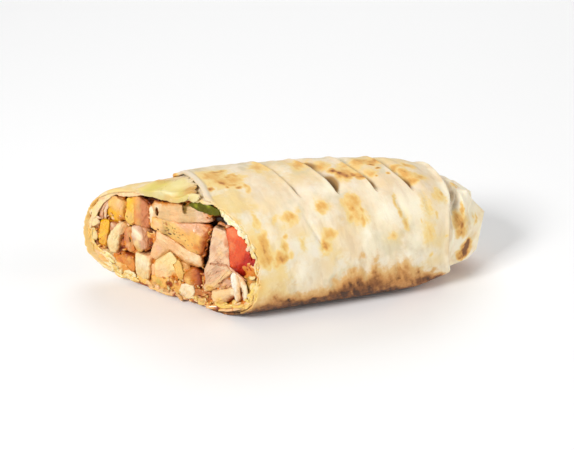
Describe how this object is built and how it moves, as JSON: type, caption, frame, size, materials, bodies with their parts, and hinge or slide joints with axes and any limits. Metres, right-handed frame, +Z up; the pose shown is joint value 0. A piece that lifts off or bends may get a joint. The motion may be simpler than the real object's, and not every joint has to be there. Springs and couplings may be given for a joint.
{
  "type": "shawarma wrap",
  "caption": "Half of a pressed flatbread wrap, cut across at a slant, with chopped chicken, tomato, cucumber and sauce showing at the cut and its far end tucked in.",
  "frame": {"origin": "middle of the wrap's underside, where it lies on a table", "axes": "+X along the wrap from the cut to the tucked end, +Z up, +Y to the far side, where the slanted cut reaches furthest out"},
  "size_m": [0.1722, 0.0666, 0.0547],
  "materials": {
    "flatbread": "dry floury baked bread with toasted spots",
    "filling": "moist chopped meat in sauce",
    "chicken": "moist cooked meat, browned outside",
    "tomato": "wet cut flesh with a glossy skin",
    "cucumber": "wet flesh with a dark skin",
    "onion": "moist translucent",
    "pepper": "moist, slightly glossy",
    "lettuce": "moist thin leaf"
  },
  "bodies": {
    "root": {"flatbread": "flatbread", "filling": "filling", "chicken_01": "chicken", "chicken_02": "chicken", "chicken_03": "chicken", "chicken_04": "chicken", "chicken_05": "chicken", "chicken_06": "chicken", "chicken_07": "chicken", "chicken_08": "chicken", "chicken_09": "chicken", "chicken_10": "chicken", "chicken_11": "chicken", "chicken_12": "chicken", "chicken_13": "chicken", "chicken_14": "chicken", "chicken_15": "chicken", "chicken_16": "chicken", "tomato": "tomato", "cucumber": "cucumber", "onion_01": "onion", "onion_02": "onion", "pepper": "pepper", "lettuce_01": "lettuce", "lettuce_02": "lettuce"}
  },
  "joints": []
}
